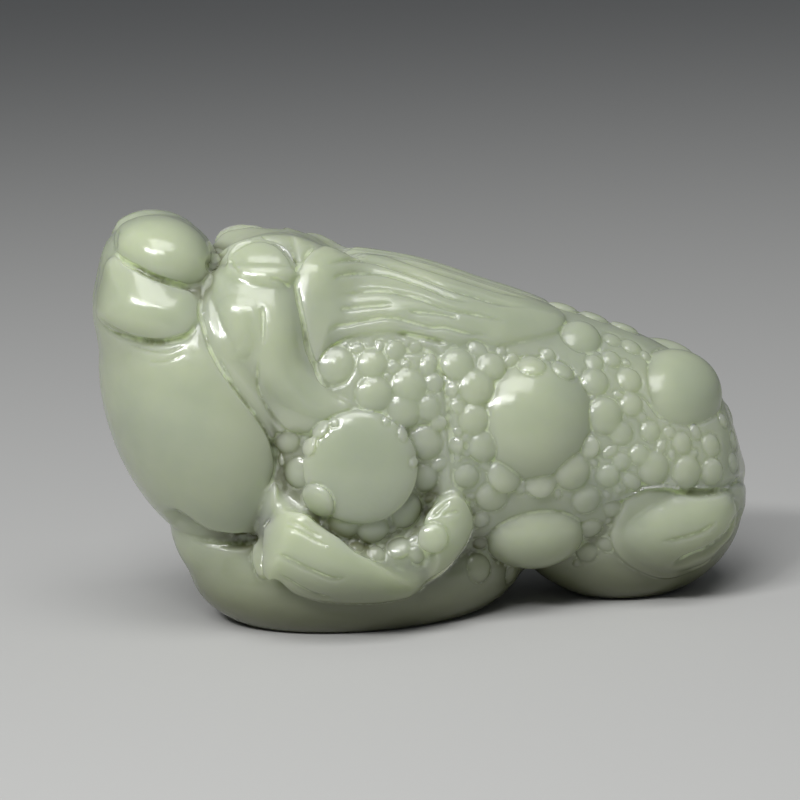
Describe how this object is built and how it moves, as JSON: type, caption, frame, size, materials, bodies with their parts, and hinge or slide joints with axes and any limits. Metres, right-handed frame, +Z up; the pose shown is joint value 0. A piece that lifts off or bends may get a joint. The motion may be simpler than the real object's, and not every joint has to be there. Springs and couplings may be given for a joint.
{
  "type": "jade money toad",
  "caption": "Solid carved jade toad for the hand or desk, crouching with raised blunt head, swept mane, ringed warts and a smooth underside it rests on.",
  "frame": {"origin": "middle of the box around the toad, at the height of the surface it rests on", "axes": "+X from the head to the rump, +Y towards the toad's right flank, +Z up"},
  "size_m": [0.0522, 0.0258, 0.0322],
  "materials": {
    "jade": "pale grey-green translucent nephrite with a waxy hand polish, olive in the hollows and a brown-olive stain at the tip of the mane"
  },
  "bodies": {
    "root": {"toad": "jade"}
  },
  "joints": []
}
